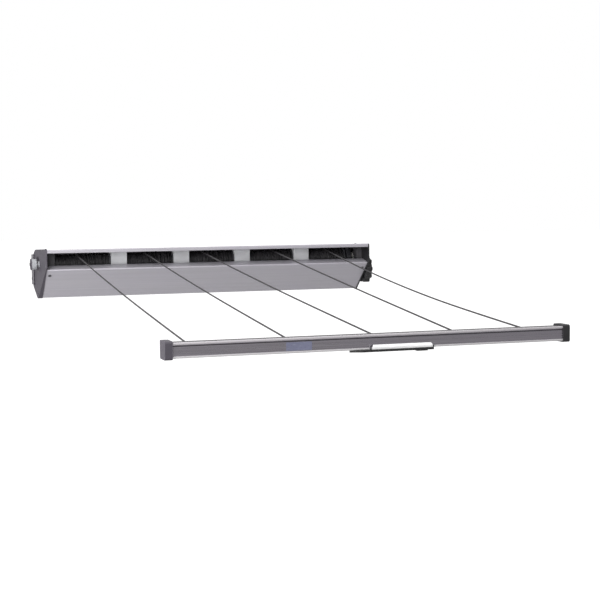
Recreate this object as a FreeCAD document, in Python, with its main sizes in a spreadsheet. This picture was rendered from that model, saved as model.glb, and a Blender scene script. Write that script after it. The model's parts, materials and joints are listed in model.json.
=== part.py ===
"""Wall mounted five line retractable clothes airer, as a parametric document.

Frame: millimetres, +Z up, +Y into the wall, +X to the right seen from the room.
The origin is the centre of the four wall screws, on the wall's surface.
The cabinet's cross section is drawn as (depth, rise), measured from the ridge,
which is the front-most edge where the ledge meets the sloping front panel.
"""
import FreeCAD, Part
import math
import os
import Sketcher
import PartDesign

V = FreeCAD.Vector
ALONG_X = FreeCAD.Rotation(V(0, 1, 0), 90)
ALONG_MINUS_X = FreeCAD.Rotation(V(0, 1, 0), -90)
ALONG_Y = FreeCAD.Rotation(V(1, 0, 0), -90)
UPRIGHT = FreeCAD.Rotation()

# alias, value, meaning
SIZES = [
    ("body_length", 1040, "extrusions, between the end caps"),
    ("ridge_y", -184, "ridge, from the wall"),
    ("ridge_z", 5, "ridge, above the wall screws' centre"),
    ("casing_depth", 172, "ridge to the casing's back"),
    ("casing_wall", 2, "extrusion wall"),
    ("lip_front", -6, "front of the lip"),
    ("lip_top", 61.5, "top of the casing at the lip"),
    ("back_top", 55, "top of the casing at its back"),
    ("lip_bottom", 50, "underside of the lip"),
    ("lip_return", 6, "back edge of the lip's underside"),
    ("ledge_depth", 47, "ridge to the ledge's inner edge"),
    ("ledge_rise", 11.6, "ledge's inner edge above the ridge"),
    ("flange_foot", -14, "foot of the flange below the ledge"),
    ("nose_depth", 113, "lowest corner, from the ridge"),
    ("nose_drop", -93.5, "lowest corner, below the ridge"),
    ("back_drop", -55.3, "lower corner of the casing's back"),
    ("seam_depth", 131, "seam between casing and panel"),
    ("port_radius", 4.5, "screw port"),
    ("port_bore", 1.9, "screw port's hole, radius"),
    ("cap_wall", 4, "end cap at its front edge"),
    ("cap_margin", 2, "end cap, proud of the extrusions"),
    ("cap_flare", 15, "end cap, thicker at its back by this"),
    ("lug_length", 14, "end cap lug inside the panel"),
    ("roller_y", -84, "roller axis"),
    ("roller_z", 19, "roller axis"),
    ("roller_left", -484, "left end of the tube"),
    ("roller_right", 468, "right end of the tube"),
    ("tube_radius", 25, "roller tube outside"),
    ("tube_wall", 1.5, "roller tube wall"),
    ("line_radius", 2, "clothes line"),
    ("line_pitch", 200, "spacing of lines and guides"),
    ("guide_x", -287, "centre of the first line guide"),
    ("guide_width", 50, "line guide"),
    ("guide_face", 61, "front face of a line guide"),
    ("saddle_gap", 0.5, "line guide to tube"),
    ("flange_radius", 34, "spool flange"),
    ("flange_width", 3, "spool flange"),
    ("arbor_radius", 6, "spring arbor"),
    ("journal_radius", 10, "right journal"),
    ("running_gap", 0.05, "radial clearance of a shaft in its bush"),
    ("bush_radius", 13, "roller bush outside"),
    ("left_block_width", 32, "left bearing block"),
    ("right_block_width", 17, "right bearing block"),
    ("gear_module", 1.5, "gear module"),
    ("gear_teeth", 44, "drive gear"),
    ("pinion_teeth", 22, "pinion"),
    ("gear_x", 474, "left face of the gears"),
    ("gear_width", 14, "gears"),
    ("tooth_play", 0.12, "each tooth is thinner by this"),
    ("shaft_forward", -33, "pinion shaft, from the roller axis along Y"),
    ("shaft_radius", 6, "pinion shaft"),
    ("wheel_x", 526, "inner face of the hand wheel"),
    ("wheel_width", 20.5, "hand wheel"),
    ("wheel_radius", 41, "hand wheel disc"),
    ("lobe_radius", 7.5, "hand wheel lobe"),
    ("lobe_circle", 39.5, "circle of the lobe centres"),
    ("lobe_count", 10, "hand wheel lobes"),
    ("collar_radius", 10, "adjuster collar"),
    ("collar_width", 9, "adjuster collar"),
    ("knob_radius", 16.5, "adjuster knob"),
    ("knob_width", 16.5, "adjuster knob"),
    ("dial_radius", 18, "disc on the knob's end"),
    ("dial_width", 3, "disc on the knob's end"),
    ("plate_width", 60, "wall plate"),
    ("plate_height", 94, "wall plate"),
    ("plate_thick", 4, "wall plate"),
    ("tab_depth", 30, "wall bracket's side tab"),
    ("tab_thick", 3, "wall bracket's side tab"),
    ("wall_hole_x", 505, "wall screw, from the centre"),
    ("wall_hole_z", 30, "wall screw, from the centre"),
    ("wall_hole_radius", 4.25, "wall screw hole"),
    ("bar_length", 926, "front bar with its caps"),
    ("bar_x", -31.5, "middle of the bar, pulled out"),
    ("bar_front", -1649, "front face of the bar, pulled out"),
    ("bar_top", -76, "top of the bar, pulled out"),
    ("bar_depth", 26, "front bar section"),
    ("bar_height", 33, "front bar section"),
    ("bar_wall", 2.2, "front bar wall"),
    ("bar_cap_length", 16.5, "bar cap"),
    ("bar_cap_depth", 46, "bar cap"),
    ("bar_cap_height", 39, "bar cap"),
    ("hook_radius", 4, "hook hole in a bar cap"),
    ("hook_back", 34, "hook hole, behind the bar's front"),
    ("anchor_drop", -7, "line anchors below the bar's top"),
    ("ferrule_radius", 3.5, "line ferrule"),
    ("ferrule_length", 8, "line ferrule"),
    ("handle_left", -47, "left end of the grip plate"),
    ("handle_right", 95, "right end of the grip plate"),
    ("handle_tip", -94, "pointed tip of the handle base"),
    ("pin_back", -6.5, "handle pin, behind the bar's front"),
    ("pin_drop", -30.2, "handle pin, below the bar's top"),
    ("pin_radius", 1.5, "handle pin"),
]
LINE_COUNT = 5
GUIDE_COUNT = 4
# along X: where each line leaves its winding, and where it is tied to the bar
LINE_LEAVES_X = [-420, -204, -19, 215, 397]
LINE_TIED_X = [-438, -219, -22, 169, 341]
LINE_SAGS = [6, 5, 4, 2, 18]
LINE_CLEAR = 16

doc = FreeCAD.newDocument("RetractableAirer")
sheet = doc.addObject("Spreadsheet::Sheet", "Dims")
for row, (alias, value, meaning) in enumerate(SIZES, start=1):
    sheet.set("A%d" % row, meaning)
    sheet.set("B%d" % row, str(value))
    sheet.setAlias("B%d" % row, alias)
doc.recompute()
subparts = []


def dim(alias):
    """A driving dimension, read from the sheet."""
    return float(sheet.get(alias))


def keep(obj, label):
    """Names a finished sub-part, which becomes a file of its own."""
    obj.Label = label
    subparts.append(obj)
    return obj


def bind(obj, **sizes):
    """Ties properties to the sheet; a number stays a number."""
    for name, text in sizes.items():
        if isinstance(text, str):
            obj.setExpression(name, text)
        else:
            setattr(obj, name, text)
    return obj


def place(obj, x, y, z, turn=UPRIGHT):
    """Puts an object at three expressions or numbers."""
    spot = [value if not isinstance(value, str) else 0 for value in (x, y, z)]
    obj.Placement = FreeCAD.Placement(V(*spot), turn)
    for letter, value in zip("xyz", (x, y, z)):
        if isinstance(value, str):
            obj.setExpression("Placement.Base." + letter, value)
    return obj


def block(name, size, corner):
    obj = doc.addObject("Part::Box", name)
    bind(obj, Length=size[0], Width=size[1], Height=size[2])
    return place(obj, *corner)


def rod(name, radius, length, start, turn=ALONG_X):
    obj = doc.addObject("Part::Cylinder", name)
    bind(obj, Radius=radius, Height=length)
    return place(obj, *start, turn)


def fuse(name, pieces):
    obj = doc.addObject("Part::MultiFuse", name)
    obj.Shapes = pieces
    return obj


def cut(name, base, tools):
    obj = doc.addObject("Part::Cut", name)
    obj.Base = base
    obj.Tool = tools[0] if len(tools) == 1 else fuse(name + "_tools", tools)
    return obj


def compound(label, pieces):
    obj = doc.addObject("Part::Compound", label)
    obj.Links = pieces
    return keep(obj, label)


# ---- outlines -----------------------------------------------------------


def left_of(a, b):
    """Unit vector to the left of the run from a to b."""
    run = V(b[0] - a[0], b[1] - a[1], 0).normalize()
    return V(-run.y, run.x, 0)


def mitred(before, point, after, shift):
    """A corner moved so that both its runs shift sideways by the same amount."""
    n1 = left_of(before, point)
    n2 = left_of(point, after)
    return V(point[0], point[1], 0) + (n1 + n2) * (shift / (1 + n1.dot(n2)))


def turns_left(before, point, after):
    return left_of(before, point).dot(V(after[0] - point[0], after[1] - point[1], 0)) > 0


def offset_loop(loop, shift):
    """A closed clockwise outline, grown outwards; corners are (x, y, radius)."""
    grown = []
    for i, corner in enumerate(loop):
        spot = mitred(loop[i - 1], corner, loop[(i + 1) % len(loop)], shift)
        grown.append((spot.x, spot.y, corner[2] + shift))
    return grown


def band(path, wall):
    """The closed outline of a bent strip; wall is positive to the left of the path."""
    far_side = []
    for i, (px, py, radius) in enumerate(path):
        if i in (0, len(path) - 1):
            a, b = (path[0], path[1]) if i == 0 else (path[-2], path[-1])
            spot = V(px, py, 0) + left_of(a, b) * wall
            far_side.append((spot.x, spot.y, 0))
            continue
        spot = mitred(path[i - 1], path[i], path[i + 1], wall)
        inside = turns_left(path[i - 1], path[i], path[i + 1]) == (wall > 0)
        bent = radius - abs(wall) if inside else radius + abs(wall)
        far_side.append((spot.x, spot.y, max(bent, 0)))
    return list(path) + far_side[::-1]


def outline(loop):
    """Lines and tangent arcs of a closed outline with rounded corners."""
    runs = []
    for i, (px, py, radius) in enumerate(loop):
        corner = V(px, py, 0)
        before = V(loop[i - 1][0], loop[i - 1][1], 0)
        after = V(loop[(i + 1) % len(loop)][0], loop[(i + 1) % len(loop)][1], 0)
        back = (before - corner).normalize()
        ahead = (after - corner).normalize()
        if radius <= 0:
            runs.append((corner, None, corner))
            continue
        half = back.getAngle(ahead) / 2
        reach = radius / math.tan(half)
        middle = corner + (back + ahead).normalize() * (radius / math.sin(half) - radius)
        runs.append((corner + back * reach, middle, corner + ahead * reach))
    edges = []
    for i, (start, middle, end) in enumerate(runs):
        if middle is not None:
            edges.append(Part.Arc(start, middle, end))
        following = runs[(i + 1) % len(runs)][0]
        if (following - end).Length > 1e-6:
            edges.append(Part.LineSegment(end, following))
    return edges


def sketch_on(body, role, loops, circles=()):
    """A sketch on one of the body's own planes, closed end to end."""
    sketch = body.newObject("Sketcher::SketchObject", body.Name + "_sketch")
    plane = [f for f in body.Origin.OriginFeatures if f.Role == role][0]
    sketch.AttachmentSupport = [(plane, "")]
    sketch.MapMode = "FlatFace"
    for loop in loops:
        ids = [sketch.addGeometry(edge, False) for edge in outline(loop)]
        for one, other in zip(ids, ids[1:] + ids[:1]):
            join_ends(sketch, one, other)
    for x, y, radius in circles:
        sketch.addGeometry(Part.Circle(V(x, y, 0), V(0, 0, 1), radius), False)
    return sketch


def join_ends(sketch, one, other):
    """Makes the ends that two neighbouring edges share coincident."""
    for end_a in (1, 2):
        for end_b in (1, 2):
            gap = sketch.getPoint(one, end_a) - sketch.getPoint(other, end_b)
            if gap.Length < 1e-6:
                tie = Sketcher.Constraint("Coincident", one, end_a, other, end_b)
                sketch.addConstraint(tie)
                return


def extruded(name, loops, length, corner, role="YZ_Plane", circles=()):
    """A body padded from outlines on one of its planes."""
    body = doc.addObject("PartDesign::Body", name)
    sketch = sketch_on(body, role, loops, circles)
    pad = body.newObject("PartDesign::Pad", name + "_pad")
    pad.Profile = sketch
    bind(pad, Length=length)
    body.Tip = pad
    return place(body, *corner)


# ---- cabinet shells -----------------------------------------------------

RIDGE = ("Dims.ridge_y", "Dims.ridge_z")
HIDDEN_PORT = (166.5, -46)
PORTS_IN_CASING = [(155, 39.5), HIDDEN_PORT]
PORTS_IN_PANEL = [(106, -79.5)]


def top_at(depth):
    """The casing's top, which falls towards the wall."""
    share = (depth - dim("lip_front")) / (dim("casing_depth") - dim("lip_front"))
    return dim("lip_top") + share * (dim("back_top") - dim("lip_top"))


def underside_at(depth):
    """The sloping underside, from the lowest corner up to the back."""
    share = (depth - dim("nose_depth")) / (dim("casing_depth") - dim("nose_depth"))
    return dim("nose_drop") + share * (dim("back_drop") - dim("nose_drop"))


CASING_PATH = [
    (dim("lip_return"), dim("lip_bottom"), 0),
    (dim("lip_front"), dim("lip_bottom"), 2.2),
    (dim("lip_front"), dim("lip_top"), 4),
    (dim("casing_depth"), dim("back_top"), 46),
    (dim("casing_depth"), dim("back_drop"), 7),
    (dim("seam_depth"), underside_at(dim("seam_depth")), 0),
]
SEAM_GAP = 1
PANEL_PATH = [
    (dim("ledge_depth"), dim("flange_foot"), 0),
    (dim("ledge_depth"), dim("ledge_rise"), 2.5),
    (0, 0, 3),
    (dim("nose_depth"), dim("nose_drop"), 9),
    (dim("seam_depth") - SEAM_GAP, underside_at(dim("seam_depth") - SEAM_GAP), 0),
]


def section_under(top_drop):
    """The whole closed section, clockwise, with its top lowered: the end caps' outline."""
    return [
        (dim("lip_front"), dim("lip_top") - top_drop, 4),
        (dim("casing_depth"), dim("back_top") - top_drop, 46),
        (dim("casing_depth"), dim("back_drop"), 7),
        (dim("nose_depth"), dim("nose_drop"), 11),
        (dim("lip_front"), 5.2, 1),
    ]


def at_section(depth, rise):
    """A point of the cross section in the document's Y and Z."""
    return dim("ridge_y") + depth, dim("ridge_z") + rise


def shell(label, path, wall, ports):
    """A casing extrusion with screw ports along its length."""
    left = "-Dims.body_length / 2"
    skin = extruded(label + "_skin", [band(path, wall)], "Dims.body_length", (left, *RIDGE))
    posts = []
    bores = []
    for number, (depth, rise) in enumerate(ports, start=1):
        spot = (left, *at_section(depth, rise))
        name = "%s_port_%d" % (label, number)
        posts.append(rod(name, "Dims.port_radius", "Dims.body_length", spot))
        bores.append(rod(name + "_bore", "Dims.port_bore", "Dims.body_length", spot))
    return cut(label, fuse(label + "_solid", [skin] + posts), bores)


PANEL_TILT = math.degrees(math.atan2(dim("nose_drop"), dim("nose_depth")))
PANEL_SCREW_RUN = 29
PANEL_SCREW_X = 509
RIVET_X = 478


def on_panel(run, inset):
    """A point at a distance down the sloping panel and behind its face."""
    tilt = math.radians(PANEL_TILT)
    depth = run * math.cos(tilt) - inset * math.sin(tilt)
    rise = run * math.sin(tilt) + inset * math.cos(tilt)
    return depth, rise


# a Z axis turned to look into the room, square to the panel
FACING_PANEL = FreeCAD.Rotation(V(1, 0, 0), 180 + PANEL_TILT)


def screw(name, head, shank, spot, turn):
    """A pan head screw along its own -Z, with a cross recess; head and shank are
    (radius, length)."""
    top = rod(name + "_head", head[0], head[1], (0, 0, 0), UPRIGHT)
    stem = rod(name + "_shank", shank[0], shank[1], (0, 0, -shank[1]), UPRIGHT)
    wide = head[0] * 1.1
    slots = []
    for number, (sx, sy) in enumerate(((wide, 0.8), (0.8, wide))):
        slot_name = "%s_slot_%d" % (name, number)
        depth = head[1] * 0.55
        slots.append(block(slot_name, (sx, sy, depth + 1), (-sx / 2, -sy / 2, head[1] - depth)))
    obj = cut(name, fuse(name + "_blank", [top, stem]), slots)
    return place(obj, *spot, turn)


def make_shells():
    keep(shell("top_casing", CASING_PATH, -dim("casing_wall"), PORTS_IN_CASING), "top_casing")
    blank = shell("front_panel_blank", PANEL_PATH, dim("casing_wall"), PORTS_IN_PANEL)
    depth, rise = on_panel(PANEL_SCREW_RUN, 10)
    holes = []
    for side in (-1, 1):
        spot = (side * PANEL_SCREW_X, *at_section(depth, rise))
        holes.append(rod("panel_hole", 2.2, 20, spot, FACING_PANEL))
    keep(cut("front_panel_cut", blank, holes), "front_panel")
    rivet = doc.addObject("Part::Sphere", "rivet_dome")
    bind(rivet, Radius=3.2, Angle1=0)
    slope = math.atan2(dim("back_top") - dim("lip_top"), dim("casing_depth") - dim("lip_front"))
    square_to_top = FreeCAD.Rotation(V(1, 0, 0), math.degrees(slope))
    place(rivet, RIVET_X, *at_section(0, top_at(0)), square_to_top)
    keep(rivet, "lip_rivet")


# ---- end caps and wall brackets -----------------------------------------

PAST_THE_CAP = 60
SCREW_RECESS = 5
# the dish round the adjuster, in radius
DISH_FLOOR = 13
DISH_RIM = 27
BRACKET_SCREW_Y = -19
BRACKET_SCREWS_Z = (-28, 28)
# the right cap's top is flush with the casing, the left one's stands proud
TOP_DROP = {"left": 0, "right": dim("cap_margin") + 0.3}
# how far behind the ridge each cap starts to thicken
FLARE_FROM = {"left": dim("lip_front"), "right": 120}


def trimmings(side, word):
    """Blocks outside a cap that leave its face flat up to FLARE_FROM and slanting out
    from there to the bracket's tab."""
    run = dim("casing_depth") + dim("cap_margin") - FLARE_FROM[word]
    angle = math.atan2(dim("cap_flare"), run)
    edge = dim("body_length") / 2 + dim("cap_wall")
    turn_y = dim("ridge_y") + FLARE_FROM[word]
    reach = 2 * dim("casing_depth")
    low = -dim("casing_depth")
    flat_left = edge if side > 0 else -edge - PAST_THE_CAP
    flat = block(word + "_flat_trim", (PAST_THE_CAP, reach, reach), (flat_left, turn_y - reach, low))
    start = V(side * edge, turn_y, low)
    if side < 0:
        start = start - V(math.cos(angle), math.sin(angle), 0) * PAST_THE_CAP
    turn = FreeCAD.Rotation(V(0, 0, 1), -side * math.degrees(angle))
    slant = block(word + "_slant_trim", (PAST_THE_CAP, reach, reach), (0, 0, 0))
    return [flat, place(slant, *start, turn)]


def outward(name, side, radius, start, y, z):
    """A cylinder that runs outwards along X from a distance off the middle."""
    left = start if side > 0 else -start - PAST_THE_CAP
    return rod(name, radius, PAST_THE_CAP, (left, y, z))


def make_end_cap(side, word):
    """Cap that thickens towards the wall, with an inner lug for the panel screw and, at
    the left, a dish round the adjuster."""
    name = word + "_cap"
    half = dim("body_length") / 2
    face = half + dim("cap_wall")
    thick = "Dims.cap_wall + Dims.cap_flare"
    grown = offset_loop(section_under(TOP_DROP[word]), dim("cap_margin"))
    plate_left = "Dims.body_length / 2" if side > 0 else "-Dims.body_length / 2 - (%s)" % thick
    plate = extruded(name + "_plate", [grown], thick, (plate_left, *RIDGE))
    lug_loop = [(*on_panel(run, inset), 0) for run, inset in ((22, 2.2), (22, 13), (40, 13), (40, 2.2))]
    inner = half - dim("lug_length") if side > 0 else -half
    lug = extruded(name + "_lug", [lug_loop], "Dims.lug_length", (inner, *RIDGE))
    pieces = [plate, lug]
    if side < 0:
        pieces.append(block(name + "_nub", (4, 6, 2), (-face, *at_section(-2, 62.5))))
    solid = fuse(name + "_solid", pieces)
    holes = trimmings(side, word)
    holes.append(rod(name + "_axle_hole", 10.5, 60, (side * half - 30, "Dims.roller_y", "Dims.roller_z")))
    if side > 0:
        holes.append(rod(name + "_shaft_hole", 8, 60, (half - 30, SHAFT_Y, SHAFT_Z)))
    else:
        dish = doc.addObject("Part::Cone", name + "_dish")
        bind(dish, Radius1=DISH_FLOOR, Radius2=DISH_RIM, Height="Dims.cap_flare - 4")
        place(dish, -face, "Dims.roller_y", "Dims.roller_z", ALONG_MINUS_X)
        holes.append(dish)
    depth, rise = on_panel(PANEL_SCREW_RUN, 20)
    spot = (side * PANEL_SCREW_X, *at_section(depth, rise))
    holes.append(rod(name + "_panel_hole", 1.8, 30, spot, FACING_PANEL))
    for depth, rise in PORTS_IN_CASING + PORTS_IN_PANEL:
        if (depth, rise) == HIDDEN_PORT:
            continue
        spot = at_section(depth, rise)
        holes.append(rod(name + "_screw_hole", 2.3, 20, (side * half - 10, *spot)))
        holes.append(outward(name + "_screw_recess", side, SCREW_RECESS, face, *spot))
    for rise in BRACKET_SCREWS_Z:
        start = side * (half + 2) if side > 0 else -half - 20
        holes.append(rod(name + "_bracket_hole", 1.8, 18, (start, BRACKET_SCREW_Y, rise)))
    keep(cut(name, solid, holes), word + "_end_cap")


def make_bracket(side, word):
    """Folded steel bracket: a plate on the wall and a tab beside the end cap."""
    name = word + "_bracket"
    edge = dim("body_length") / 2 + dim("cap_wall") + dim("cap_flare")
    tab_x = edge if side > 0 else -edge - dim("tab_thick")
    plate_x = edge + dim("tab_thick") - dim("plate_width") if side > 0 else -edge - dim("tab_thick")
    low = -dim("plate_height") / 2
    plate_size = ("Dims.plate_width", "Dims.plate_thick", "Dims.plate_height")
    plate = block(name + "_plate", plate_size, (plate_x, "-Dims.plate_thick", low))
    tab_size = ("Dims.tab_thick", "Dims.tab_depth", "Dims.plate_height")
    tab = block(name + "_tab", tab_size, (tab_x, "-Dims.tab_depth", low))
    holes = []
    for sign in (-1, 1):
        spot = (side * dim("wall_hole_x"), -10, sign * dim("wall_hole_z"))
        holes.append(rod(name + "_wall_hole", "Dims.wall_hole_radius", 20, spot, ALONG_Y))
    for rise in BRACKET_SCREWS_Z:
        spot = (tab_x - 1, BRACKET_SCREW_Y, rise)
        holes.append(rod(name + "_tab_hole", 2.2, 6, spot))
    keep(cut(name, fuse(name + "_solid", [plate, tab]), holes), "wall_bracket_" + word)


def make_cabinet_screws():
    """Cap screws, panel screws and bracket screws, one group for each kind."""
    cap_face = dim("body_length") / 2 + dim("cap_wall")
    cap_screws = []
    bracket_screws = []
    panel_screws = []
    tab_face = cap_face + dim("cap_flare") + dim("tab_thick")
    for side, turn in ((-1, ALONG_MINUS_X), (1, ALONG_X)):
        for depth, rise in PORTS_IN_CASING + PORTS_IN_PANEL:
            if (depth, rise) == HIDDEN_PORT:
                continue
            spot = (side * cap_face, *at_section(depth, rise))
            cap_screws.append(screw("cap_screw", (4, 2.4), (1.85, 18), spot, turn))
        for rise in BRACKET_SCREWS_Z:
            spot = (side * tab_face, BRACKET_SCREW_Y, rise)
            bracket_screws.append(screw("bracket_screw", (4, 2.4), (1.75, 10), spot, turn))
        spot = (side * PANEL_SCREW_X, *at_section(*on_panel(PANEL_SCREW_RUN, 0)))
        panel_screws.append(screw("panel_screw", (5, 1.6), (1.75, 11), spot, FACING_PANEL))
    compound("cap_screws", cap_screws)
    compound("bracket_screws", bracket_screws)
    compound("panel_screws", panel_screws)


# ---- bearings and line guides -------------------------------------------

LEFT_BLOCK = [(52, 54, 4), (146, 51, 10), (146, -26, 4), (70, -26, 12), (52, -14, 4)]
RIGHT_BLOCK = [(52, 54, 4), (140, 51, 10), (140, -10, 6), (98, -50, 6), (72, -50, 6), (52, -34, 4)]
GUIDE_ROOF = dim("casing_wall") + 0.05
GUIDE_FACE = dim("guide_face")
GUIDE_BACK = 112
GUIDE = [
    (GUIDE_FACE, top_at(GUIDE_FACE) - GUIDE_ROOF, 0), (GUIDE_BACK, top_at(GUIDE_BACK) - GUIDE_ROOF, 2),
    (GUIDE_BACK, 34, 0), (90, 20, 0), (84, -2, 0),
    (72, -13, 0), (47.2, -13, 0), (47.2, -5, 0), (GUIDE_FACE, -5, 2),
]


def centre_distance():
    return dim("gear_module") * (dim("gear_teeth") + dim("pinion_teeth")) / 2


SHAFT_Y = dim("roller_y") + dim("shaft_forward")
SHAFT_Z = dim("roller_z") - math.sqrt(centre_distance() ** 2 - dim("shaft_forward") ** 2)


def flanged_bush(label, outside, bore, span, flange, spot):
    """Plain bush with a thrust flange at its left end; bore is an expression."""
    body = rod(label + "_body", outside, span, spot)
    rim = rod(label + "_rim", flange[0], flange[1], (spot[0] - flange[1], *spot[1:]))
    hole_spot = (spot[0] - flange[1] - 1, *spot[1:])
    hole = rod(label + "_bore", bore, span + flange[1] + 2, hole_spot)
    keep(cut(label + "_cut", fuse(label + "_solid", [body, rim]), [hole]), label)


def make_bearings():
    half = dim("body_length") / 2
    axis = ("Dims.roller_y", "Dims.roller_z")
    left = extruded("left_block", [LEFT_BLOCK], "Dims.left_block_width", (-half, *RIDGE))
    bore = rod("left_block_bore", "Dims.bush_radius", 60, (-half - 10, *axis))
    keep(cut("left_block_cut", left, [bore]), "left_bearing_block")
    right_x = half - dim("right_block_width")
    right = extruded("right_block", [RIGHT_BLOCK], "Dims.right_block_width", (right_x, *RIDGE))
    bores = [
        rod("right_block_bore", "Dims.bush_radius", 40, (right_x - 10, *axis)),
        rod("right_block_shaft_bore", "Dims.shaft_radius + 2.5", 40, (right_x - 10, SHAFT_Y, SHAFT_Z)),
    ]
    keep(cut("right_block_cut", right, bores), "right_bearing_block")
    arbor_bore = "Dims.arbor_radius + Dims.running_gap"
    left_span = dim("left_block_width") - 2
    spot = (-half + 2, dim("roller_y"), dim("roller_z"))
    flanged_bush("left_bush", "Dims.bush_radius", arbor_bore, left_span, (9, 2), spot)
    journal_bore = "Dims.journal_radius + Dims.running_gap"
    spot = (right_x, dim("roller_y"), dim("roller_z"))
    flanged_bush("right_bush", "Dims.bush_radius", journal_bore, dim("right_block_width"), (15, 2), spot)
    shaft_bore = "Dims.shaft_radius + Dims.running_gap"
    span = dim("right_block_width") + dim("cap_wall")
    spot = (right_x, SHAFT_Y, SHAFT_Z)
    flanged_bush("shaft_bush", 8, shaft_bore, span, (8, 1), spot)


def guide_centre(number):
    return dim("guide_x") + number * dim("line_pitch")


def make_guides():
    """Four moulded guides between the windings, each a saddle over the tube."""
    for number in range(GUIDE_COUNT):
        left = guide_centre(number) - dim("guide_width") / 2
        name = "guide_%d" % (number + 1)
        solid = extruded(name, [GUIDE], "Dims.guide_width", (left, *RIDGE))
        radius = "Dims.tube_radius + Dims.saddle_gap"
        saddle = rod(name + "_saddle", radius, 80, (left - 15, "Dims.roller_y", "Dims.roller_z"))
        keep(cut(name + "_cut", solid, [saddle]), "line_guide_%d" % (number + 1))


# ---- roller -------------------------------------------------------------

FLANGE_GAP = 0.5
PLUG_LENGTH = 20


def winding_spans():
    """Left and right end of each winding, between its two spool flanges."""
    clear = dim("guide_width") / 2 + FLANGE_GAP + dim("flange_width")
    lefts = [dim("roller_left") + dim("flange_width")]
    rights = []
    for number in range(GUIDE_COUNT):
        rights.append(guide_centre(number) - clear)
        lefts.append(guide_centre(number) + clear)
    rights.append(dim("roller_right") - dim("flange_width"))
    return list(zip(lefts, rights))


def sleeve(name, outside, inside, left, length):
    """A tube on the roller's axis."""
    axis = ("Dims.roller_y", "Dims.roller_z")
    solid = rod(name + "_outside", outside, length, (left, *axis))
    hole = rod(name + "_inside", inside, length + 2, (left - 1, *axis))
    return cut(name, solid, [hole])


def make_roller():
    left = dim("roller_left")
    right = dim("roller_right")
    inside = "Dims.tube_radius - Dims.tube_wall"
    keep(sleeve("tube", "Dims.tube_radius", inside, left, right - left), "roller_tube")
    arbor_bore = "Dims.arbor_radius + Dims.running_gap"
    keep(sleeve("left_plug", inside, arbor_bore, left, PLUG_LENGTH), "roller_plug_left")
    keep(sleeve("spring_plate", inside, arbor_bore, SPRING_RIGHT, 10), "spring_anchor_plate")
    axis = ("Dims.roller_y", "Dims.roller_z")
    plug = rod("right_plug_body", inside, PLUG_LENGTH, (right - PLUG_LENGTH, *axis))
    reach = dim("body_length") / 2 - 1 - right
    journal = rod("right_plug_journal", "Dims.journal_radius", reach, (right, *axis))
    key_slot = block("key_slot", (dim("gear_width"), 5, 3), (dim("gear_x"), dim("roller_y") - 2.5, KEY_Z))
    blank = fuse("right_plug_solid", [plug, journal])
    keep(cut("right_plug_cut", blank, [key_slot]), "roller_plug_right")
    key = block("key", (dim("gear_width"), 5, 5), (dim("gear_x"), dim("roller_y") - 2.5, KEY_Z))
    keep(key, "gear_key")
    flanges = []
    for number, (start, end) in enumerate(winding_spans(), start=1):
        for word, spot in (("a", start - dim("flange_width")), ("b", end)):
            name = "flange_%d_%s" % (number, word)
            width = dim("flange_width")
            flanges.append(sleeve(name, "Dims.flange_radius", "Dims.tube_radius", spot, width))
        outside = "Dims.tube_radius + 4 * Dims.line_radius"
        coil = sleeve("coil_%d" % number, outside, "Dims.tube_radius", start, end - start)
        keep(coil, "winding_%d" % number)
    compound("spool_flanges", flanges)


KEY_Z = dim("roller_z") + dim("journal_radius") - 3


def involute_flank(base, outer, root, turn, sign):
    """Points of one flank from the root circle to the tip circle."""
    start = max(base, root)
    points = []
    for step in range(5):
        radius = start + (outer - start) * (step / 4) ** 1.3
        roll = math.sqrt(max((radius / base) ** 2 - 1, 0))
        angle = turn + sign * (roll - math.atan(roll))
        points.append(V(radius * math.cos(angle), radius * math.sin(angle), 0))
    if root < base:
        foot = V(root * math.cos(turn), root * math.sin(turn), 0)
        points.insert(0, foot)
    return points


def gear_face(teeth, tooth_at):
    """A spur gear's outline, 20 degree involutes, with a tooth centred on an angle."""
    module = dim("gear_module")
    pitch_radius = module * teeth / 2
    base = pitch_radius * math.cos(math.radians(20))
    outer = pitch_radius + module
    root = pitch_radius - 1.25 * module
    roll = math.tan(math.radians(20))
    lean = roll - math.radians(20)
    half = math.pi / (2 * teeth) - dim("tooth_play") / (2 * pitch_radius) + lean
    points = []
    for number in range(int(teeth)):
        centre = tooth_at + number * 2 * math.pi / teeth
        points += involute_flank(base, outer, root, centre - half, 1)
        points += involute_flank(base, outer, root, centre + half, -1)[::-1]
    return Part.Face(Part.makePolygon(points + points[:1]))


def gear(label, teeth, tooth_at, y, z, bore, key_top):
    """A gear along X; its outline's X and Y axes become the document's Y and Z."""
    face = gear_face(teeth, tooth_at)
    solid = face.extrude(V(0, 0, dim("gear_width")))
    solid = solid.cut(Part.makeCylinder(bore, dim("gear_width") + 2, V(0, 0, -1)))
    if key_top:
        solid = solid.cut(Part.makeBox(5, key_top, dim("gear_width"), V(-2.5, 0, 0)))
    obj = doc.addObject("Part::Feature", label)
    obj.Shape = solid
    turn = FreeCAD.Rotation(V(0, 1, 0), V(0, 0, 1), V(1, 0, 0), "ZXY")
    obj.Placement = FreeCAD.Placement(V(dim("gear_x"), y, z), turn)
    return keep(obj, label)


def make_gears():
    """Drive gear on the roller and pinion on the hand wheel's shaft, in mesh."""
    towards = math.atan2(SHAFT_Z - dim("roller_z"), SHAFT_Y - dim("roller_y"))
    key_top = dim("journal_radius") + 2
    gear("drive_gear", dim("gear_teeth"), towards, dim("roller_y"), dim("roller_z"),
         dim("journal_radius"), key_top)
    half_space = math.pi / dim("pinion_teeth")
    gear("pinion", dim("pinion_teeth"), towards + math.pi + half_space, SHAFT_Y, SHAFT_Z,
         dim("shaft_radius"), 0)


# ---- spring and its adjuster --------------------------------------------

SPRING_LEFT = -440
SPRING_RIGHT = -200
SPRING_RADIUS = 17
SPRING_WIRE = 1.5
SPRING_PITCH = 10


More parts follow.
